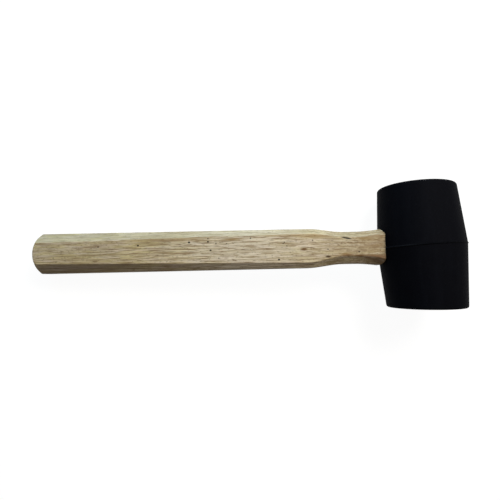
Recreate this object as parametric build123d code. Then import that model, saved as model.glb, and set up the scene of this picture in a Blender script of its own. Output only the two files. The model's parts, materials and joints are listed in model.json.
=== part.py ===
"""Rubber mallet: a solid moulded rubber head wedged on an octagonal hardwood handle.

Each piece is drawn in the mallet's working axes, in millimetres. X runs along the handle
towards the head, Y runs along the head from face to face, and Z points out of the handle's
broad flats. The axes cross at the working origin, in the middle of the head.

The finished pieces are then laid down together, the way the mallet lies on a bench: one
tapered half of the head rests along the bench, and the butt of the handle touches it.
"""

from build123d import *

import math
import os

# Head: two tapered halves that meet at the mould's parting line
overall_length = 329.2  # from the butt to the far side of the head
head_length = 89.5  # from face to face
waist_diameter = 61.6  # at the parting line, where the head is widest
face_diameter = 54.9
face_edge_radius = 1.5
face_edge_cones = 4  # narrow cones that stand in for the rounding of each face's edge
head_skew = 2.4  # degrees, by which the head's axis leans off square to the handle
fin_height = 0.3  # of the thin fin left at the parting line
fin_thickness = 1.0
fin_gap = 1.6  # between the fin's ends and the eye

# Handle: height is measured along Y, thickness along Z
butt_height = 31.4
butt_thickness = 25.2
butt_far_chamfer = 7.8  # on the +Y side: leg of the 45 degree flat between broad and narrow
butt_near_chamfer = 7.4  # on the -Y side
grip_end_height = 29.2
grip_end_thickness = 21.5
grip_end_far_chamfer = 4.1
grip_end_near_chamfer = 3.9
neck_height = 23.8
neck_thickness = 20.0
neck_far_chamfer = 4.6
neck_near_chamfer = 5.7  # shaped deeper than the far one
flare_height = 27.0  # at the shoulder that bears on the rubber
flare_thickness = 21.6
flare_chamfer = 4.5
flare_curve = 1.5  # power of the run: 1 is a straight flare
arris_radius = 1.0  # sanding of the long edges and the butt's rim
butt_dome_margin = 5.5  # of the dome's radius over the butt's widest corner
shoulder_corner_radius = 5.6  # seen along Z
shoulder_clearance = 0.3  # of that rounding's block around the shoulder

# Where the handle changes, measured from the middle of the head
grip_end_distance = 85.0
neck_start_distance = 57.0
neck_end_distance = 47.0
shoulder_sink = 1.8  # how far the shoulder is pressed into the head

# Tenon: the tapered round end that fills the eye, spread by its wedges
tenon_root_diameter = 19.0
tenon_end_diameter = 21.5
tenon_recess = 0.4  # of the sawn end below the mouth of the eye

# Wooden wedge in the kerf, which runs along the head
kerf_width = 1.6
kerf_depth = 36.0
wedge_length = 29.0
wedge_end_thickness = 4.6
wedge_tip_thickness = 1.8

# Barbed steel wedge across the wooden one
spike_width = 13.0
spike_length = 20.0
spike_end_thickness = 3.0
spike_tip_thickness = 0.9
spike_barb = 0.35  # step behind each barb
spike_barbs = 4
spike_recess = 0.3  # of its struck end below the sawn end of the tenon

waist_radius = waist_diameter / 2
face_radius = face_diameter / 2
half_head = head_length / 2
draft = math.atan((waist_radius - face_radius) / half_head)
butt_x = waist_radius - overall_length
shoulder_x = shoulder_sink - waist_radius
tenon_root_radius = tenon_root_diameter / 2
tenon_end_radius = tenon_end_diameter / 2
tenon_end_x = math.sqrt(waist_radius**2 - tenon_end_radius**2) - tenon_recess
butt_size = (butt_height, butt_thickness, butt_far_chamfer, butt_near_chamfer)
grip_end_size = (grip_end_height, grip_end_thickness, grip_end_far_chamfer, grip_end_near_chamfer)
neck_size = (neck_height, neck_thickness, neck_far_chamfer, neck_near_chamfer)
flare_size = (flare_height, flare_thickness, flare_chamfer, flare_chamfer)
butt_near_corner = butt_thickness / 2 - butt_near_chamfer
butt_corner_radius = math.hypot(butt_height / 2, butt_near_corner)
butt_dome_radius = butt_corner_radius + butt_dome_margin


def rim_waste():
    """What is cut away outside the far face's edge, whose circle lies off the handle's axis."""
    reach = half_head - face_edge_radius
    radius = waist_radius - reach * math.tan(draft) - face_edge_radius / math.cos(draft)
    middle = (radius * math.tan(draft) - reach) * math.tan(math.radians(head_skew))
    turns = [(math.pi / 2 - draft) * k / face_edge_cones for k in range(face_edge_cones + 1)]
    arc = [
        (radius + face_edge_radius * math.sin(turn), reach + face_edge_radius * math.cos(turn))
        for turn in turns
    ]
    (x, y), (end_x, end_y) = arc[-2:]
    arc[-1] = foot = (3 * end_x - 2 * x, 3 * end_y - 2 * y)
    outer = foot[0] + face_edge_radius
    top = half_head + face_edge_radius
    outline = Polyline(*arc, (outer, foot[1]), (outer, top), (radius, top), close=True)
    return Pos(X=middle) * revolve(make_face(outline), Axis.Y)


def head_barrel():
    """The moulded outside of the head: it leans, but its faces stay square to the handle."""
    reach = half_head + face_radius * math.tan(math.radians(head_skew)) + face_edge_radius
    end_radius = waist_radius - reach * math.tan(draft)
    outline = Polyline(
        (0, -reach), (end_radius, -reach), (waist_radius, 0), (end_radius, reach), (0, reach), close=True
    )
    cones = Rot(Z=head_skew) * revolve(make_face(outline), Axis.Y)
    barrel = cones & Box(2 * waist_diameter, head_length, 2 * waist_diameter)
    waste = rim_waste()
    return barrel - waste - Rot(Z=180) * waste


def eye_mouth(radius):
    """A round bar that opens the eye from the tenon's sawn end outwards."""
    bar = Cylinder(radius, waist_diameter, align=(Align.CENTER, Align.CENTER, Align.MIN))
    return Pos(X=tenon_end_x) * Rot(Y=90) * bar


def parting_fin():
    """The thin fin that the mould leaves round the head, with the disc that carries it."""
    foot = waist_radius - fin_thickness / 2 * math.tan(draft)
    top = waist_radius + fin_height
    outline = Polyline(
        (tenon_end_radius, -fin_thickness / 2),
        (foot, -fin_thickness / 2),
        (top, -fin_thickness / 4),
        (top, fin_thickness / 4),
        (foot, fin_thickness / 2),
        (tenon_end_radius, fin_thickness / 2),
        close=True,
    )
    return revolve(make_face(outline), Axis.Y)


def rubber_head(handle):
    """The moulding with its eye, which takes its shape from the handle that fills it."""
    fin = Rot(Z=head_skew) * parting_fin() - eye_mouth(tenon_end_radius + fin_gap)
    return head_barrel() + fin - handle - eye_mouth(tenon_end_radius)


def octagon(x, height, thickness, far_chamfer, near_chamfer):
    """The handle's section at x: a rectangle with 45 degree corners, of its own size each side."""
    top = height / 2
    side = thickness / 2
    corners = [
        (top, side - far_chamfer),
        (top - far_chamfer, side),
        (near_chamfer - top, side),
        (-top, side - near_chamfer),
        (-top, near_chamfer - side),
        (near_chamfer - top, -side),
        (top - far_chamfer, -side),
        (top, far_chamfer - side),
    ]
    plane = Plane(origin=(x, 0, 0), x_dir=(0, 1, 0), z_dir=(1, 0, 0))
    return plane * make_face(Polyline(*corners, close=True))


def butt_waste():
    """What is turned away outside the butt's dome."""
    length = butt_corner_radius + butt_dome_margin
    blank = Box(length, 3 * length, 3 * length, align=(Align.MIN, Align.CENTER, Align.CENTER))
    dome = Pos(X=butt_dome_radius + butt_dome_margin) * Sphere(butt_dome_radius)
    return Pos(X=butt_x - butt_dome_margin) * (blank - dome)


def handle_grip():
    """The straight octagonal length, from the domed butt to where the neck begins."""
    spare = octagon(butt_x - butt_dome_margin / 2, *butt_size)
    butt = octagon(butt_x, *butt_size)
    end = octagon(-grip_end_distance, *grip_end_size)
    grip = loft([spare, butt, end], ruled=True) - butt_waste()
    cut_end = grip.faces().sort_by(Axis.X)[-1]
    return fillet(grip.edges() - cut_end.edges(), arris_radius)


def between(start, end, share):
    return [a + (b - a) * share for a, b in zip(start, end)]


def neck_section(x):
    """The section between the grip and the shoulder: an eased waist, then the flare."""
    run = min(1, (x + grip_end_distance) / (grip_end_distance - neck_start_distance))
    size = between(grip_end_size, neck_size, (1 - math.cos(math.pi * run)) / 2)
    if x > -neck_end_distance:
        run = (x + neck_end_distance) / (neck_end_distance + shoulder_x)
        size = between(neck_size, flare_size, run**flare_curve)
    return fillet(octagon(x, *size).vertices(), arris_radius)


def stations(start, end, spans):
    return [start + (end - start) * k / spans for k in range(1, spans + 1)]


def shoulder_waste():
    """What is cut away round the shoulder, so that its two corners are round, seen along Z."""
    height = flare_height + 2 * shoulder_clearance
    align = (Align.MAX, Align.CENTER, Align.CENTER)
    kept = Pos(X=shoulder_x + shoulder_clearance) * Box(grip_end_distance, height, 2 * height, align=align)
    corners = kept.edges().filter_by(Axis.Z).group_by(Axis.X)[-1]
    blank = Box(neck_end_distance + shoulder_x, 2 * height, height, align=align)
    return Pos(X=shoulder_x + 2 * shoulder_clearance) * blank - fillet(corners, shoulder_corner_radius)


def handle_neck(grip):
    """The waisted length between the grip's end and the shoulder."""
    places = stations(-grip_end_distance, -neck_start_distance, 7)
    places += stations(-neck_start_distance, -neck_end_distance, 2)
    places += stations(-neck_end_distance, shoulder_x, 4)
    grip_end = grip.faces().sort_by(Axis.X)[-1]
    return loft([grip_end] + [neck_section(x) for x in places]) - shoulder_waste()


def tenon_cone():
    """The tapered round of the tenon, from the shoulder to its sawn end."""
    outline = Polyline(
        (shoulder_x, 0),
        (shoulder_x, tenon_root_radius),
        (tenon_end_x, tenon_end_radius),
        (tenon_end_x, 0),
        close=True,
    )
    return revolve(make_face(outline), Axis.X)


def handle_blank():
    """The handle before its kerf is sawn: sanded grip and neck, and the round tenon."""
    grip = handle_grip()
    return grip + handle_neck(grip) + tenon_cone()


def tapered_wedge(length, width, end_thickness, tip_thickness):
    """A plain wedge, driven to the tenon's end: its width lies along Y, its thickness along Z."""
    tip_x = tenon_end_x - length
    outline = Polyline(
        (tenon_end_x, end_thickness / 2),
        (tip_x, tip_thickness / 2),
        (tip_x, -tip_thickness / 2),
        (tenon_end_x, -end_thickness / 2),
        close=True,
    )
    return extrude(Plane.XZ * make_face(outline), amount=width / 2, both=True)


def kerf():
    """The saw cut in the tenon's end, as wide at its foot as the saw's blade."""
    return tapered_wedge(kerf_depth, 2 * tenon_end_diameter, kerf_width, kerf_width)


def wooden_wedge():
    """The wedge that spreads the kerf, trimmed to the tenon's round."""
    wedge = tapered_wedge(
        wedge_length, 2 * tenon_end_diameter, wedge_end_thickness, wedge_tip_thickness
    )
    return wedge & tenon_cone()


def steel_wedge():
    """A barbed wedge across the wooden one: each barb steps in, so that it can't work out."""
    end_x = tenon_end_x - spike_recess
    pitch = spike_length / spike_barbs
    taper = (spike_end_thickness - spike_tip_thickness) / 2 / spike_barbs
    flank = []
    for barb in range(spike_barbs):
        start = end_x - barb * pitch
        half = spike_end_thickness / 2 - barb * taper
        step = spike_barb if barb else 0
        flank += [(start, half - step), (start - pitch, half - taper)]
    mirrored = [(x, -y) for x, y in reversed(flank)]
    outline = Polyline(*flank, *mirrored, close=True)
    return extrude(make_face(outline), amount=spike_width / 2, both=True)


def mallet():
    """Each piece by name, in the working axes."""
    blank = handle_blank()
    wedge = wooden_wedge()
    spike = steel_wedge()
    return {
        "rubber_head": rubber_head(blank),
        "handle": blank - kerf() - wedge - spike,
        "wooden_wedge": wedge - spike,
        "steel_wedge": spike,
    }


def bench_turn():
    """How the mallet turns when it is laid down on its head and its butt.

    It rolls about the head's own axis until the butt is as low as the head, then tips along
    that axis until the fin and one face's edge are level.
    """
    fin_top = waist_radius + fin_height
    tip = math.atan((fin_top - face_radius) / (half_head - fin_thickness / 4))
    depth = fin_top + fin_thickness / 4 * math.tan(tip)
    corner_y = butt_height / 2 - butt_far_chamfer
    corner_z = butt_thickness / 2
    rim = math.sqrt(butt_dome_radius**2 - corner_y**2 - corner_z**2)
    corner = Vector(butt_x + butt_dome_radius - rim, corner_y).rotate(Axis.Z, -head_skew)
    drop = depth - corner.Y * math.tan(tip)
    roll = math.asin(drop / math.hypot(corner.X, corner_z)) - math.atan2(corner_z, -corner.X)
    level = Rot(X=-math.degrees(tip)) * Rot(Y=-math.degrees(roll))
    return Rot(Z=head_skew) * level * Rot(Z=-head_skew)


turn = bench_turn()
laid = {name: turn * piece for name, piece in mallet().items()}
box = Compound(list(laid.values())).bounding_box()
to_origin = Pos(-box.center().X, -box.center().Y, -box.min.Z)

os.makedirs("parts", exist_ok=True)
for name, piece in laid.items():
    export_step(to_origin * piece, f"parts/{name}.step")
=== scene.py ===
"""Looks of the rubber mallet: its woods, rubber and steel, on a pale studio floor."""

import json
import math

import bmesh
import bpy
from mathutils import Matrix, Vector

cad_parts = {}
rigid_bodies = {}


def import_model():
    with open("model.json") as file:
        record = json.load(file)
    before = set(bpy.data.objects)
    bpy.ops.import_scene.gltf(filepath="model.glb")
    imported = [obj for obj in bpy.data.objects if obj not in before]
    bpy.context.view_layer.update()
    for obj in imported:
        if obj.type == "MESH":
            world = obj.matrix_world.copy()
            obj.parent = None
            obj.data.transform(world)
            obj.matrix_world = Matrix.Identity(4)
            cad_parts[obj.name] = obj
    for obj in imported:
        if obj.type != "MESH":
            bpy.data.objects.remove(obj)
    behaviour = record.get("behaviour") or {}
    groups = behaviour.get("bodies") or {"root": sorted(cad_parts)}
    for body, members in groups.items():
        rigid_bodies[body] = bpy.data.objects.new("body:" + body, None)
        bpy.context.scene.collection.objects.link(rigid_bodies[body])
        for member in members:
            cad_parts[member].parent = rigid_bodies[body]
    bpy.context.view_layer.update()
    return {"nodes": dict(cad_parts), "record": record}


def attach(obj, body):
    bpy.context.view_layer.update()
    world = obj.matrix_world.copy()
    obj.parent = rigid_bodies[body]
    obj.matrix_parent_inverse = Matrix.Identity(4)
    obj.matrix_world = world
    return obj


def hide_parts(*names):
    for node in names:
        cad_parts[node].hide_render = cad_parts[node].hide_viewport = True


for stray in list(bpy.data.objects):
    bpy.data.objects.remove(stray)
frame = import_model()

# The mallet's working axes: X along the handle towards the head, Y along the head,
# Z out of the handle's broad flats. Millimetres, from the middle of the head.
MM = 0.001
HEAD_TIP = math.radians(4.546)  # by which the head's far end is lower
HANDLE_SLOPE = math.radians(3.509)  # by which the handle falls towards its butt
HEAD_LEAN = math.radians(2.4)  # of the head's axis off square to the handle
# Turns the working axes to the frame's.
LAY = Matrix.Rotation(-HEAD_TIP, 3, "X") @ Matrix.Rotation(-HANDLE_SLOPE, 3, "Y")

mounts = {m["name"]: Vector(m["pos_m"]) for m in frame["record"]["mounts"]}
HEAD_CENTRE = (mounts["striking_face_far"] + mounts["striking_face_near"]) / 2

FLOAT = "NodeSocketFloat"
VECTOR = "NodeSocketVector"


def srgb(red, green, blue):
    """A colour as it looks on a screen, 0 to 255, as the linear one that a shader takes."""
    parts = [c / 255 for c in (red, green, blue)]
    linear = [c / 12.92 if c <= 0.04045 else ((c + 0.055) / 1.055) ** 2.4 for c in parts]
    return (*linear, 1.0)


# ---------------------------------------------------------------- nodes


def join(tree, socket, value):
    """Sets a socket to a plain value, or links it to the socket that the value comes from."""
    if isinstance(value, bpy.types.NodeSocket):
        tree.links.new(value, socket)
    else:
        socket.default_value = value


def add(tree, kind, inputs=None, **settings):
    """Adds a node with its settings, and joins its inputs, which go by name or number."""
    node = tree.nodes.new(kind)
    for name, value in settings.items():
        setattr(node, name, value)
    for name, value in (inputs or {}).items():
        join(tree, node.inputs[name], value)
    return node


def maths(tree, operation, a, b=0.0, clamp=False):
    node = add(tree, "ShaderNodeMath", {0: a, 1: b}, operation=operation, use_clamp=clamp)
    return node.outputs[0]


def product(tree, value, *factors):
    """The value times each of the factors."""
    for factor in factors:
        value = maths(tree, "MULTIPLY", value, factor)
    return value


def vectors(tree, operation, a, b=(0.0, 0.0, 0.0)):
    return add(tree, "ShaderNodeVectorMath", {0: a, 1: b}, operation=operation).outputs[0]


def length_of(tree, vector):
    node = add(tree, "ShaderNodeVectorMath", {0: vector}, operation="LENGTH")
    return node.outputs["Value"]


def split(tree, vector):
    return add(tree, "ShaderNodeSeparateXYZ", {0: vector}).outputs


def shifted_across(tree, vector, shift):
    """The vector with the shift added along Y."""
    lift = add(tree, "ShaderNodeCombineXYZ", {"Y": shift}).outputs[0]
    return vectors(tree, "ADD", vector, lift)


def stretched(tree, vector, x, y, z):
    """The vector counted in cells of x by y by z."""
    return vectors(tree, "MULTIPLY", vector, (1 / x, 1 / y, 1 / z))


def noise(tree, vector, detail=2.0, roughness=0.5, distortion=0.0):
    inputs = {"Vector": vector, "Scale": 1.0, "Detail": detail}
    inputs.update({"Roughness": roughness, "Distortion": distortion})
    return add(tree, "ShaderNodeTexNoise", inputs).outputs["Fac"]


def between(tree, value, low, high):
    """Rises softly from 0 at low to 1 at high, or falls where low is the larger."""
    inputs = {"Value": value, "From Min": low, "From Max": high}
    return add(tree, "ShaderNodeMapRange", inputs, interpolation_type="SMOOTHSTEP").outputs[0]


def scaled(tree, value, low, high):
    """0 to 1 taken to low to high."""
    inputs = {"Value": value, "To Min": low, "To Max": high}
    return add(tree, "ShaderNodeMapRange", inputs).outputs[0]


def tint(tree, share, first, second):
    """Goes from the first colour to the second as the share goes from 0 to 1."""
    node = add(tree, "ShaderNodeMix", data_type="RGBA")
    for socket, value in ((0, share), (6, first), (7, second)):
        join(tree, node.inputs[socket], value)
    return node.outputs[2]


def toned(tree, colour, tone, mask, strength):
    """The colour taken towards a tone where the mask is, as far as the strength says."""
    return tint(tree, product(tree, mask, strength), colour, tone)


def bumped(tree, height, strength, distance):
    inputs = {"Height": height, "Strength": strength, "Distance": distance}
    return add(tree, "ShaderNodeBump", inputs).outputs[0]


def new_group(name, inputs, outputs):
    """A node group: its tree, the sockets that come in, and those that it puts out."""
    tree = bpy.data.node_groups.new(name, "ShaderNodeTree")
    for socket, (kind, value) in inputs.items():
        made = tree.interface.new_socket(socket, in_out="INPUT", socket_type=kind)
        made.default_value = value
    for socket in outputs:
        tree.interface.new_socket(socket, in_out="OUTPUT", socket_type=FLOAT)
    given = tree.nodes.new("NodeGroupInput").outputs
    return tree, given, tree.nodes.new("NodeGroupOutput").inputs


def place(tree, group, **inputs):
    """Places a group with its values, named with _ for a space, and gives its outputs."""
    node = add(tree, "ShaderNodeGroup", node_tree=group)
    for name, value in inputs.items():
        join(tree, node.inputs[name.replace("_", " ")], value)
    return node.outputs


# ---------------------------------------------------------------- shared effects


def timber_group():
    """Rings, fibres, vessels and slow changes of wood that grew along X."""
    tree, given, out = new_group(
        "timber_grain",
        {
            "Vector": (VECTOR, (0, 0, 0)),
            "Heart": (VECTOR, (0, 20, -30)),
            "Ring Width": (FLOAT, 2.0),
            "Waviness": (FLOAT, 2.0),
        },
        ("Rings", "Streaks", "Fibres", "Vessels", "Drift", "Flecks"),
    )
    point = given["Vector"]
    slow = maths(tree, "SUBTRACT", noise(tree, stretched(tree, point, 85, 20, 20), 1.0), 0.5)
    quick = maths(tree, "SUBTRACT", noise(tree, stretched(tree, point, 30, 8, 8), 1.0), 0.5)
    wave = maths(tree, "ADD", product(tree, slow, 3.0), product(tree, quick, 0.5))
    wave = product(tree, wave, given["Waviness"])

    from_heart = vectors(tree, "SUBTRACT", point, given["Heart"])
    radius = length_of(tree, vectors(tree, "MULTIPLY", from_heart, (0.0, 1.0, 1.0)))
    turns = maths(tree, "DIVIDE", maths(tree, "ADD", radius, wave), given["Ring Width"])
    rings = scaled(tree, maths(tree, "SINE", product(tree, turns, math.tau)), -0.6, 1.6)
    late_wood = maths(tree, "POWER", maths(tree, "MAXIMUM", rings, 0.0), 1.5, clamp=True)

    bent = shifted_across(tree, point, wave)
    vessels = noise(tree, stretched(tree, bent, 6.5, 0.75, 0.75), 2.0, 0.6)
    flecks = noise(tree, stretched(tree, bent, 2.2, 0.85, 0.85), 1.0)
    join(tree, out["Rings"], late_wood)
    join(tree, out["Streaks"], noise(tree, stretched(tree, bent, 60, 1.2, 1.2), 3.0, 0.68))
    join(tree, out["Fibres"], noise(tree, stretched(tree, bent, 15, 0.75, 0.75), 2.0, 0.6))
    join(tree, out["Vessels"], between(tree, vessels, 0.57, 0.68))
    join(tree, out["Drift"], noise(tree, stretched(tree, point, 50, 5, 5), 3.0, 0.55))
    join(tree, out["Flecks"], between(tree, flecks, 0.6, 0.74))
    return tree


def mark_group():
    """A spot with a soft edge, stretched to a size and sloped in the XY plane."""
    tree, given, out = new_group(
        "mark",
        {
            "Vector": (VECTOR, (0, 0, 0)),
            "Centre": (VECTOR, (0, 0, 0)),
            "Size": (VECTOR, (1, 1, 1)),
            "Slope": (FLOAT, 0.0),
            "Edge": (FLOAT, 0.5),
        },
        ("Mask",),
    )
    offset = vectors(tree, "SUBTRACT", given["Vector"], given["Centre"])
    lift = product(tree, split(tree, offset)["X"], given["Slope"], -1.0)
    offset = shifted_across(tree, offset, lift)
    reach = length_of(tree, vectors(tree, "DIVIDE", offset, given["Size"]))
    inner = maths(tree, "SUBTRACT", 1.0, given["Edge"])
    join(tree, out["Mask"], between(tree, reach, 1.0, inner))
    return tree


def edge_group():
    """Where a solid's outward edges are: the whole of them, and patches that wear reached."""
    tree, given, out = new_group(
        "edge_wear",
        {"Vector": (VECTOR, (0, 0, 0)), "Reach": (FLOAT, 0.001), "Patches": (FLOAT, 4.0)},
        ("Mask", "Whole"),
    )
    distance = {"Distance": given["Reach"]}
    inside = add(tree, "ShaderNodeAmbientOcclusion", distance, samples=8, inside=True)
    whole = between(tree, inside.outputs["AO"], 0.95, 0.45)
    cells = vectors(tree, "DIVIDE", given["Vector"], given["Patches"])
    patches = between(tree, noise(tree, cells, 3.0, 0.6), 0.35, 0.62)
    join(tree, out["Mask"], product(tree, whole, patches))
    join(tree, out["Whole"], whole)
    return tree


def dust_group():
    """A thin film that lies in blotches, and fine specks."""
    tree, given, out = new_group(
        "dust_film",
        {"Vector": (VECTOR, (0, 0, 0)), "Blotch": (FLOAT, 12.0), "Cover": (FLOAT, 0.5)},
        ("Mask", "Specks"),
    )
    cells = vectors(tree, "DIVIDE", given["Vector"], given["Blotch"])
    blotches = noise(tree, cells, 5.0, 0.62, 0.4)
    low = maths(tree, "SUBTRACT", 0.85, given["Cover"])
    high = maths(tree, "SUBTRACT", 1.15, given["Cover"])
    specks = noise(tree, stretched(tree, given["Vector"], 0.5, 0.5, 0.5), 1.0)
    join(tree, out["Mask"], between(tree, blotches, low, high))
    join(tree, out["Specks"], between(tree, specks, 0.66, 0.74))
    return tree


def grit_group():
    """The fine uneven surface left by a mould, a saw or a hammer."""
    tree, given, out = new_group(
        "grit",
        {"Vector": (VECTOR, (0, 0, 0)), "Grain": (FLOAT, 0.4), "Ripple": (FLOAT, 6.0)},
        ("Height", "Mottle"),
    )
    fine = noise(tree, vectors(tree, "DIVIDE", given["Vector"], given["Grain"]), 3.0, 0.6)
    broad = noise(tree, vectors(tree, "DIVIDE", given["Vector"], given["Ripple"]), 3.0, 0.55)
    join(tree, out["Height"], maths(tree, "ADD", product(tree, fine, 0.45), broad))
    join(tree, out["Mottle"], broad)
    return tree


TIMBER, MARK, EDGE = timber_group(), mark_group(), edge_group()
DUST, GRIT = dust_group(), grit_group()


def spot(tree, point, centre, size, edge, slope=0.0):
    """The mask of one mark."""
    mark = place(tree, MARK, Vector=point, Centre=centre, Size=size, Slope=slope, Edge=edge)
    return mark["Mask"]


def on_axes(tree, given, location, size):
    """An object-space place or direction, taken to the mallet's working axes."""
    inputs = {"Vector": given, "Location": location, "Rotation": LAY.to_euler("XYZ")}
    inputs["Scale"] = (size, size, size)
    return add(tree, "ShaderNodeMapping", inputs, vector_type="TEXTURE").outputs[0]


def new_material(name):
    """A material: its tree, its shader, its place in millimetres and the way that it faces."""
    material = bpy.data.materials.new(name)
    material.use_nodes = True
    tree = material.node_tree
    tree.nodes.clear()
    shader = add(tree, "ShaderNodeBsdfPrincipled")
    add(tree, "ShaderNodeOutputMaterial", {"Surface": shader.outputs[0]})
    source = add(tree, "ShaderNodeTexCoord").outputs
    point = on_axes(tree, source["Object"], HEAD_CENTRE, MM)
    facing = on_axes(tree, source["Normal"], (0, 0, 0), 1.0)
    return material, tree, shader.inputs, point, facing


def put_on(node, material):
    mesh = frame["nodes"][node].data
    mesh.materials.clear()
    mesh.materials.append(material)


# ---------------------------------------------------------------- the handle's wood

# Stretches along the handle, from where a look starts to where it is whole. The butt is
# at about -300.
BUTT_SHADE = (-293.0, -299.5)
GRAIN_GROWS = (-285.0, -195.0)
GRAIN_CALMS = (-165.0, -110.0)
GRIP_SHADE = (-130.0, -260.0)
NECK = (-88.0, -52.0)
NECK_GRAIN = (-75.0, -50.0)
FLARE = (-54.0, -40.0)
SHOULDER = (-52.0, -36.0)
CORNER = (-43.0, -33.0)
OUT_OF_HEAD = (-22.0, -26.0)

# The same for how far a surface faces the far end of the head, from -1 to 1.
FACES_FAR = (0.3, 0.55)
FACES_NEAR = (-0.3, -0.55)

BARREL_RADIUS, BARREL_TAPER = 30.8, 0.075  # at its middle, and the loss per millimetre out

HOLE_HEIGHT, STAIN_HEIGHT, LINE_HEIGHT = 11.0, 10.5, 10.3  # of the marks on the front flat
KNOT = (-87.8, -0.8, 10.6)
BROWN_SPOT = (-70.2, -6.6, 10.3)
SLASH = (-56.6, 6.8, 9.5)
# Middle of a pool of painted light over the handle.
LIT_MIDDLE = (-132, 0, 8)
# Pin holes and specks on the front flat: place along and across it, radius.
PIN_HOLES = (
    (-212.1, 4.3, 0.62),
    (-242.9, 3.8, 0.5),
    (-277.8, -3.9, 0.4),
    (-173.2, 5.9, 0.7),
    (-158.9, 6.1, 0.62),
    (-157.0, -0.3, 0.62),
    (-152.9, 4.7, 0.4),
    (-145.0, 4.5, 0.35),
    (-150.8, -6.3, 0.35),
    (-106.3, -8.2, 0.62),
    (-103.0, 3.6, 0.35),
    (-47.7, -3.5, 0.6),
    (-158.9, 8.5, 0.45),
    (-127.1, 8.1, 0.45),
    (-102.1, 4.6, 0.4),
    (-100.3, 1.8, 0.3),
    (-81.4, 5.6, 0.42),
    (-70.3, -1.2, 0.4),
)
# Brown line along the near arris of the flare: place along and across it, length, slope.
RIM_LINE = (
    (-56.0, -5.7, 7.0, 0.0),
    (-47.5, -6.4, 6.5, -0.15),
    (-40.4, -8.3, 6.5, -0.3),
    (-33.5, -10.6, 6.0, -0.33),
)
# Amber stains on the front flat: place along and across it, length, width.
STAINS = ((-43.0, 6.0, 9.0, 2.0), (-58.0, -4.9, 8.0, 1.9), (-140.0, 7.4, 14.0, 1.4))


def grain_round_knot(tree, point):
    """The handle's grain, parted where it runs round the knot."""
    near_knot = spot(tree, point, KNOT, (11, 5, 8), 1.0)
    across_knot = split(tree, vectors(tree, "SUBTRACT", point, KNOT))["Y"]
    bent = shifted_across(tree, point, product(tree, across_knot, -0.65, near_knot))
    return place(tree, TIMBER, Vector=bent, Heart=(0, 34, -22), Ring_Width=3.1, Waviness=0.8)


def grain_tones(tree, point, along, aside, grain, vessels):
    """The wood's colour before its marks and its wear."""
    near_chamfer = between(tree, aside, *FACES_NEAR)
    at_neck = between(tree, along, *NECK_GRAIN)
    bold = product(
        tree,
        scaled(tree, between(tree, along, *GRAIN_GROWS), 0.72, 1.0),
        scaled(tree, between(tree, along, *GRAIN_CALMS), 1.0, 0.82),
        scaled(tree, at_neck, 1.0, 1.3),
    )
    straw, sand = srgb(218, 199, 168), srgb(205, 188, 144)
    colour = tint(tree, between(tree, grain["Drift"], 0.4, 0.6), straw, sand)
    hue = between(tree, noise(tree, stretched(tree, point, 16, 2.2, 2.2), 2.0), 0.38, 0.62)
    colour = tint(tree, 0.4, colour, tint(tree, hue, srgb(214, 194, 134), srgb(220, 200, 184)))
    # Painted light: a paler pool over the middle of the handle, with its ends left darker.
    lit_middle = spot(tree, point, LIT_MIDDLE, (85, 40, 40), 1.0)
    colour = toned(tree, colour, srgb(234, 222, 202), lit_middle, 0.72)
    # Browner wood towards the head with painted shade from the head, less of it on the near
    # chamfer.
    neck_tone_and_shade = product(tree, between(tree, along, *NECK), scaled(tree, near_chamfer, 1.0, 0.4))
    colour = toned(tree, colour, srgb(158, 139, 112), neck_tone_and_shade, 0.5)

    dark_streaks = product(tree, between(tree, grain["Streaks"], 0.52, 0.34), bold)
    colour = toned(tree, colour, srgb(154, 128, 88), dark_streaks, 0.52)
    pale_streaks = product(tree, between(tree, grain["Streaks"], 0.52, 0.66), bold)
    colour = toned(tree, colour, srgb(230, 217, 196), pale_streaks, 0.45)
    colour = toned(tree, colour, srgb(158, 138, 100), grain["Rings"], 0.2)
    fibres = product(tree, between(tree, grain["Fibres"], 0.56, 0.36), bold)
    colour = toned(tree, colour, srgb(140, 114, 76), fibres, 0.9)
    colour = toned(tree, colour, srgb(110, 82, 46), vessels, 0.9)
    flecked = scaled(tree, at_neck, 0.5, 1.0)
    colour = toned(tree, colour, srgb(108, 84, 52), grain["Flecks"], flecked)
    mottle = noise(tree, stretched(tree, point, 3.4, 1.4, 1.4), 3.0, 0.6)
    dark_blotches = product(tree, between(tree, mottle, 0.46, 0.62), at_neck)
    colour = toned(tree, colour, srgb(132, 108, 74), dark_blotches, 0.48)
    pale_blotches = product(tree, between(tree, mottle, 0.5, 0.36), at_neck)
    colour = toned(tree, colour, srgb(212, 192, 158), pale_blotches, 0.38)

    # Painted light: the far chamfer, which faces the window lamp, toned greyer and cooler as
    # its cool sheen.
    far_chamfer_sheen = between(tree, aside, *FACES_FAR)
    colour = toned(tree, colour, srgb(178, 172, 142), far_chamfer_sheen, 0.32)
    # Painted shade: the near chamfer darker along the grip towards the butt.
    near_grip_shade = product(tree, near_chamfer, between(tree, along, *GRIP_SHADE))
    colour = toned(tree, colour, srgb(120, 100, 74), near_grip_shade, 0.5)
    # Grain with painted shade: dark streaks on the near chamfer alone.
    near_streak_shade = product(tree, near_chamfer, between(tree, grain["Streaks"], 0.5, 0.36))
    return toned(tree, colour, srgb(96, 76, 48), near_streak_shade, 0.45)


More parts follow.
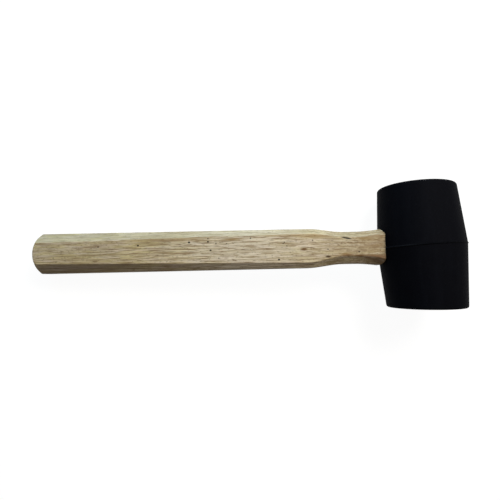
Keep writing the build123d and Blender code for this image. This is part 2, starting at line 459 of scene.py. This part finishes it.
def marked(tree, point, colour):
    """The colour with the knot, spot, slash, pin holes and stains, and where they sink in."""
    ragged = noise(tree, stretched(tree, point, 2.0, 0.8, 0.8), 2.0)
    frayed = shifted_across(tree, point, maths(tree, "SUBTRACT", ragged, 0.5))
    halo = spot(tree, frayed, KNOT, (4.6, 2.3, 4), 0.9)
    colour = toned(tree, colour, srgb(140, 112, 76), halo, 0.55)
    core = spot(tree, frayed, KNOT, (3.4, 1.35, 3), 0.7)
    colour = toned(tree, colour, srgb(108, 74, 34), core, 0.95)
    brown = spot(tree, frayed, BROWN_SPOT, (2.8, 1.1, 3), 0.6)
    colour = toned(tree, colour, srgb(64, 40, 20), brown, 0.95)
    slash = spot(tree, frayed, SLASH, (4.6, 0.85, 4), 0.45, slope=-0.2)
    colour = toned(tree, colour, srgb(34, 33, 28), slash, 0.97)
    holes = 0.0
    for x, y, radius in PIN_HOLES:
        size = (radius * 1.7, radius * 1.35, 3)
        hole = spot(tree, point, (x, y, HOLE_HEIGHT), size, 0.5)
        holes = maths(tree, "MAXIMUM", hole, holes)
    colour = toned(tree, colour, srgb(30, 15, 4), holes, 0.98)
    for x, y, length, width in STAINS:
        stain = spot(tree, frayed, (x, y, STAIN_HEIGHT), (length, width, 4), 1.0)
        colour = toned(tree, colour, srgb(150, 118, 62), stain, 0.75)
    line = 0.0
    for x, y, length, slope in RIM_LINE:
        part = spot(tree, frayed, (x, y, LINE_HEIGHT), (length, 1.4, 4), 0.8, slope)
        line = maths(tree, "MAXIMUM", part, line)
    colour = toned(tree, colour, srgb(116, 80, 34), line, 0.8)
    sunk = maths(tree, "MAXIMUM", maths(tree, "MAXIMUM", holes, slash), brown)
    return colour, sunk


def shaded_gap_line(tree, point, across):
    """A ragged line where the wood meets the barrel, painted there as the gap's shade."""
    from_axis = length_of(tree, vectors(tree, "MULTIPLY", point, (1.0, 0.0, 1.0)))
    loss = product(tree, maths(tree, "ABSOLUTE", across), BARREL_TAPER)
    gap = maths(tree, "SUBTRACT", maths(tree, "ADD", from_axis, loss), BARREL_RADIUS)
    ragged = noise(tree, stretched(tree, point, 3.0, 0.9, 0.9), 2.0)
    gap = maths(tree, "ADD", gap, scaled(tree, ragged, -2.4, 2.4))
    return between(tree, gap, 1.1, 0.3)


def worn_and_shaded(tree, point, ways, grain, colour):
    """The colour with its darker edges, ends and shoulder, and with grime, and with painted
    shade at the butt, by the head and in the gap at the barrel.
    """
    parts = split(tree, point)
    along, across, aside = parts["X"], parts["Y"], ways["Y"]
    outside = between(tree, along, *OUT_OF_HEAD)
    edges = place(tree, EDGE, Vector=point, Reach=0.0013, Patches=7.0)
    colour = toned(tree, colour, srgb(142, 120, 84), edges["Whole"], 0.35)
    # Painted shade: darker round the butt's end.
    colour = toned(tree, colour, srgb(128, 106, 74), between(tree, along, *BUTT_SHADE), 0.45)
    sawn_ends = between(tree, maths(tree, "ABSOLUTE", ways["X"]), 0.75, 0.95)
    colour = toned(tree, colour, srgb(140, 108, 68), sawn_ends, 0.5)

    shoulder = product(tree, between(tree, along, *SHOULDER), outside)
    shoulder = product(tree, shoulder, between(tree, grain["Streaks"], 0.62, 0.44))
    colour = toned(tree, colour, srgb(140, 111, 74), shoulder, 0.6)
    far_border = product(
        tree, between(tree, across, 6.2, 8.6), between(tree, aside, 0.6, 0.3), outside
    )
    amber = product(tree, far_border, between(tree, grain["Drift"], 0.42, 0.56))
    colour = toned(tree, colour, srgb(158, 124, 72), amber, 0.48)
    near_arris = product(tree, between(tree, aside, -0.05, -0.3), edges["Whole"])
    colour = toned(tree, colour, srgb(126, 98, 50), near_arris, 0.6)
    near_rim = product(
        tree,
        between(tree, across, -4.8, -7.0),
        between(tree, aside, -0.68, -0.3),
        between(tree, along, *FLARE),
        outside,
    )
    colour = toned(tree, colour, srgb(116, 78, 38), near_rim, 0.8)
    # Painted shade on the near side, in the corner by the head.
    corner_shade = product(
        tree, between(tree, aside, -0.05, -0.4), between(tree, along, *CORNER), outside
    )
    colour = toned(tree, colour, srgb(86, 60, 32), corner_shade, 0.5)
    # Painted shade in the gap where the wood meets the barrel.
    gap_shade = product(tree, shaded_gap_line(tree, point, across), outside)
    colour = toned(tree, colour, srgb(52, 38, 26), gap_shade, 0.75)
    grime = place(tree, DUST, Vector=point, Blotch=26.0, Cover=0.42)
    return toned(tree, colour, srgb(132, 118, 92), grime["Mask"], 0.18)


def handle_wood():
    """Pale, open-pored hardwood with a domed butt, painted light over its middle, painted
    shade on its grip and a ragged, shaded line at its shoulder.
    """
    material, tree, shader, point, facing = new_material("handle_wood")
    ways = split(tree, facing)
    grain = grain_round_knot(tree, point)
    vessels = product(tree, grain["Vessels"], scaled(tree, grain["Rings"], 0.5, 1.0))
    colour = grain_tones(tree, point, split(tree, point)["X"], ways["Y"], grain, vessels)
    colour, sunk = marked(tree, point, colour)
    join(tree, shader["Base Color"], worn_and_shaded(tree, point, ways, grain, colour))

    rough = scaled(tree, grain["Fibres"], 0.5, 0.74)
    rough = maths(tree, "ADD", rough, product(tree, vessels, 0.15))
    join(tree, shader["Roughness"], maths(tree, "MAXIMUM", rough, sunk))
    dents = maths(tree, "ADD", product(tree, vessels, 0.6), product(tree, sunk, 0.3))
    height = maths(tree, "SUBTRACT", grain["Fibres"], dents)
    join(tree, shader["Normal"], bumped(tree, height, 0.5, 0.00022))
    return material


# ---------------------------------------------------------------- the head's rubber

FACE_OUT = (44.1, 44.6)  # how far out along the head the striking faces are
SEAM_HALF = (0.95, 0.45)  # from the parting line's middle, its edge and where it is whole
SEAM_HIGHLIGHT = (-8.0, -20.0)  # the stretch towards the handle where a highlight is painted on it


def rubber():
    """Moulded black rubber with a parting line in painted shade and a painted highlight
    towards the handle, scuffed on its striking faces.
    """
    material, tree, shader, point, _ = new_material("rubber")
    grit = place(tree, GRIT, Vector=point, Grain=0.55, Ripple=7.0)
    dust = place(tree, DUST, Vector=point, Blotch=13.0, Cover=0.4)
    scuffs = place(tree, DUST, Vector=point, Blotch=9.0, Cover=0.5)
    edges = place(tree, EDGE, Vector=point, Reach=0.0022, Patches=3.0)
    parts = split(tree, point)
    faces = between(tree, maths(tree, "ABSOLUTE", parts["Y"]), *FACE_OUT)
    scuffed = product(tree, scuffs["Mask"], faces)
    lean = product(tree, parts["X"], math.tan(HEAD_LEAN))
    from_seam = maths(tree, "ABSOLUTE", maths(tree, "SUBTRACT", parts["Y"], lean))
    seam = between(tree, from_seam, *SEAM_HALF)

    colour = tint(tree, grit["Mottle"], srgb(7, 7, 12), srgb(10, 11, 16))
    bands = between(tree, noise(tree, stretched(tree, point, 6, 90, 6), 2.0), 0.44, 0.66)
    colour = toned(tree, colour, srgb(15, 16, 22), bands, 0.25)
    colour = toned(tree, colour, srgb(14, 15, 19), dust["Mask"], 0.3)
    colour = toned(tree, colour, srgb(40, 41, 46), dust["Specks"], 0.25)
    colour = toned(tree, colour, srgb(44, 44, 47), scuffed, 0.35)
    colour = toned(tree, colour, srgb(40, 42, 48), edges["Mask"], 0.3)
    # Painted shade: the parting line's step darkened.
    colour = toned(tree, colour, srgb(3, 3, 5), seam, 0.6)
    # Painted highlight on the parting line towards the handle.
    seam_highlight = product(tree, seam, between(tree, parts["X"], *SEAM_HIGHLIGHT))
    colour = toned(tree, colour, srgb(36, 38, 44), seam_highlight, 0.3)
    join(tree, shader["Base Color"], colour)

    rough = scaled(tree, grit["Mottle"], 0.66, 0.8)
    rough = maths(tree, "ADD", rough, product(tree, scuffed, 0.2))
    join(tree, shader["Roughness"], rough)
    shader["Specular IOR Level"].default_value = 0.028
    height = maths(tree, "SUBTRACT", grit["Height"], product(tree, scuffed, 0.3))
    join(tree, shader["Normal"], bumped(tree, height, 0.45, 0.0002))
    return material


# ---------------------------------------------------------------- the two wedges


def wedge_wood():
    """Darker, finer wood than the handle's, with its arrises rubbed pale."""
    material, tree, shader, point, _ = new_material("wedge_wood")
    grain = place(tree, TIMBER, Vector=point, Heart=(0, 8, -14), Ring_Width=1.3, Waviness=0.7)
    edges = place(tree, EDGE, Vector=point, Reach=0.0006, Patches=1.5)
    fibres = between(tree, grain["Fibres"], 0.62, 0.36)
    colour = tint(tree, grain["Drift"], srgb(150, 112, 74), srgb(132, 94, 60))
    colour = tint(tree, fibres, colour, srgb(112, 78, 48))
    colour = toned(tree, colour, srgb(104, 70, 42), grain["Rings"], 0.4)
    colour = toned(tree, colour, srgb(66, 44, 28), grain["Vessels"], 0.7)
    colour = toned(tree, colour, srgb(168, 134, 96), edges["Mask"], 0.4)
    join(tree, shader["Base Color"], colour)
    join(tree, shader["Roughness"], scaled(tree, grain["Fibres"], 0.55, 0.8))
    shader["Specular IOR Level"].default_value = 0.3
    height = maths(tree, "SUBTRACT", grain["Fibres"], product(tree, grain["Vessels"], 0.5))
    join(tree, shader["Normal"], bumped(tree, height, 0.5, 0.0002))
    return material


def wedge_steel():
    """Grey steel, rusted in blotches and bright along its edges."""
    material, tree, shader, point, _ = new_material("wedge_steel")
    grit = place(tree, GRIT, Vector=point, Grain=0.3, Ripple=2.2)
    rust = place(tree, DUST, Vector=point, Blotch=3.0, Cover=0.45)
    edges = place(tree, EDGE, Vector=point, Reach=0.0005, Patches=1.2)
    colour = tint(tree, grit["Mottle"], srgb(118, 118, 120), srgb(148, 147, 145))
    colour = toned(tree, colour, srgb(96, 66, 46), rust["Mask"], 0.55)
    colour = toned(tree, colour, srgb(190, 189, 186), edges["Mask"], 0.5)
    join(tree, shader["Base Color"], colour)
    join(tree, shader["Metallic"], scaled(tree, rust["Mask"], 1.0, 0.55))
    join(tree, shader["Roughness"], scaled(tree, grit["Mottle"], 0.32, 0.6))
    join(tree, shader["Normal"], bumped(tree, grit["Height"], 0.4, 0.00012))
    return material


# The steel wedge, in millimetres.
WEDGE_END, WEDGE_TIP = 3.0, 0.9  # thickness at the struck end and at the tip
WEDGE_WIDTH = 13.0
WEDGE_BARBS, WEDGE_BARB = 4, 0.35  # how many barbs, and the step behind each
WEDGE_PROUD = 0.15  # how far it stands out of the tenon's sawn end
WEDGE_ROUNDING = 0.25  # of the struck end's edges


def reach_along(node):
    """The lowest and highest place along the handle that a node reaches, in millimetres."""
    to_axes = LAY.transposed()
    vertices = frame["nodes"][node].data.vertices
    places = [(to_axes @ (vertex.co - HEAD_CENTRE)).x / MM for vertex in vertices]
    return min(places), max(places)


def barbed_flank(tip, end, struck):
    """Half the thickness at each place along the wedge, from its struck end to its tip."""
    pitch = (end - tip) / WEDGE_BARBS
    taper = (WEDGE_END - WEDGE_TIP) / 2 / WEDGE_BARBS
    flank = []
    for barb in range(WEDGE_BARBS):
        start, half = end - barb * pitch, WEDGE_END / 2 - barb * taper
        flank.append((half - WEDGE_BARB, start) if barb else (half, struck))
        flank.append((half - taper, start - pitch))
    return flank


def driven_wedge(material):
    """The steel wedge with its struck end just proud of the sawn end of the tenon."""
    tip, end = reach_along("steel_wedge")
    struck = reach_along("handle")[1] + WEDGE_PROUD
    flank = barbed_flank(tip, end, struck)
    outline = flank + [(-half, z) for half, z in reversed(flank)]
    steel = bmesh.new()
    corners = [steel.verts.new((x, -WEDGE_WIDTH / 2, z)) for x, z in outline]
    made = bmesh.ops.extrude_face_region(steel, geom=[steel.faces.new(corners)])["geom"]
    moved = [part for part in made if isinstance(part, bmesh.types.BMVert)]
    bmesh.ops.translate(steel, vec=(0, WEDGE_WIDTH, 0), verts=moved)
    bmesh.ops.recalc_face_normals(steel, faces=steel.faces)
    rim = [edge for edge in steel.edges if min(v.co.z for v in edge.verts) > struck - 0.01]
    bmesh.ops.bevel(
        steel,
        geom=rim,
        offset=WEDGE_ROUNDING,
        affect="EDGES",
        segments=2,
        profile=0.5,
        material=-1,
    )
    # Local X, Y and Z are the mallet's Y, Z and X.
    turned = LAY.to_4x4() @ Matrix(((0, 0, 1, 0), (1, 0, 0, 0), (0, 1, 0, 0), (0, 0, 0, 1)))
    placed = Matrix.Translation(HEAD_CENTRE) @ turned @ Matrix.Scale(MM, 4)
    bmesh.ops.transform(steel, matrix=placed, verts=steel.verts)
    mesh = bpy.data.meshes.new("steel_wedge_driven")
    steel.to_mesh(mesh)
    steel.free()
    piece = bpy.data.objects.new("steel_wedge_driven", mesh)
    bpy.context.scene.collection.objects.link(piece)
    mesh.materials.append(material)
    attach(piece, "root")
    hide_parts("steel_wedge")


put_on("handle", handle_wood())
put_on("rubber_head", rubber())
put_on("wooden_wedge", wedge_wood())
driven_wedge(wedge_steel())

# ---------------------------------------------------------------- floor, lamps and camera


GLOW, GLOW_SHARE = 1.28, 0.74  # of the paper as the camera sees it, and the rest takes shadow
FLOOR_HALF = 2.5  # metres


def paper():
    """Pale paper, shown white where nothing shades it."""
    material = bpy.data.materials.new("paper")
    material.use_nodes = True
    tree = material.node_tree
    tree.nodes.clear()
    path = add(tree, "ShaderNodeLightPath").outputs
    seen = maths(tree, "MAXIMUM", path["Is Camera Ray"], path["Is Glossy Ray"])
    seen = maths(tree, "MAXIMUM", seen, path["Is Transmission Ray"])
    sheet = add(tree, "ShaderNodeBsdfDiffuse", {"Color": srgb(200, 200, 200)})
    glow = add(tree, "ShaderNodeEmission", {"Color": (1, 1, 1, 1), "Strength": GLOW})
    shares = {0: product(tree, seen, GLOW_SHARE), 1: sheet.outputs[0], 2: glow.outputs[0]}
    mixed = add(tree, "ShaderNodeMixShader", shares)
    add(tree, "ShaderNodeOutputMaterial", {"Surface": mixed.outputs[0]})
    return material


def paper_floor():
    mesh = bpy.data.meshes.new("paper_floor")
    sheet = bmesh.new()
    bmesh.ops.create_grid(sheet, x_segments=1, y_segments=1, size=FLOOR_HALF)
    sheet.to_mesh(mesh)
    sheet.free()
    floor = bpy.data.objects.new("paper_floor", mesh)
    bpy.context.scene.collection.objects.link(floor)
    mesh.materials.append(paper())


def soft_lamp(name, stands, aim, size, watts, colour):
    data = bpy.data.lights.new(name, "AREA")
    data.shape = "RECTANGLE"
    data.size, data.size_y = size
    data.energy, data.color = watts, colour
    lamp = bpy.data.objects.new(name, data)
    lamp.location = stands
    lamp.rotation_euler = (Vector(aim) - Vector(stands)).to_track_quat("-Z", "Y").to_euler()
    bpy.context.scene.collection.objects.link(lamp)


def studio_air():
    """A faint warm light from all round."""
    world = bpy.data.worlds.new("studio")
    world.use_nodes = True
    background = world.node_tree.nodes["Background"].inputs
    background["Color"].default_value = (1.0, 0.96, 0.94, 1)
    background["Strength"].default_value = 0.1
    bpy.context.scene.world = world


CAMERA_OFF_HEAD = (-0.12825, 0.0004, 0.2709)  # metres from the middle of the head
CAMERA_TURN = (-0.003, -0.001, -0.016)  # radians off straight down


def overhead_camera():
    data = bpy.data.cameras.new("camera")
    data.sensor_width, data.lens = 36.0, 26.0
    data.clip_start = 0.01
    camera = bpy.data.objects.new("camera", data)
    camera.location = HEAD_CENTRE + Vector(CAMERA_OFF_HEAD)
    camera.rotation_euler = CAMERA_TURN
    bpy.context.scene.collection.objects.link(camera)
    return camera


paper_floor()
soft_lamp(
    "key_lamp",
    stands=(0.3, 0.363, 0.49),
    aim=(0.03, 0.0, 0.03),
    size=(0.4, 0.3),
    watts=4.3,
    colour=(1.0, 0.96, 0.87),
)
soft_lamp(
    "window_lamp",
    stands=(-0.15, 0.65, 0.2),
    aim=(-0.03, 0.0, 0.03),
    size=(0.5, 0.3),
    watts=2.4,
    colour=(0.4, 0.75, 1.0),
)
studio_air()
bpy.context.scene.camera = overhead_camera()
bpy.context.scene.view_settings.view_transform = "Standard"
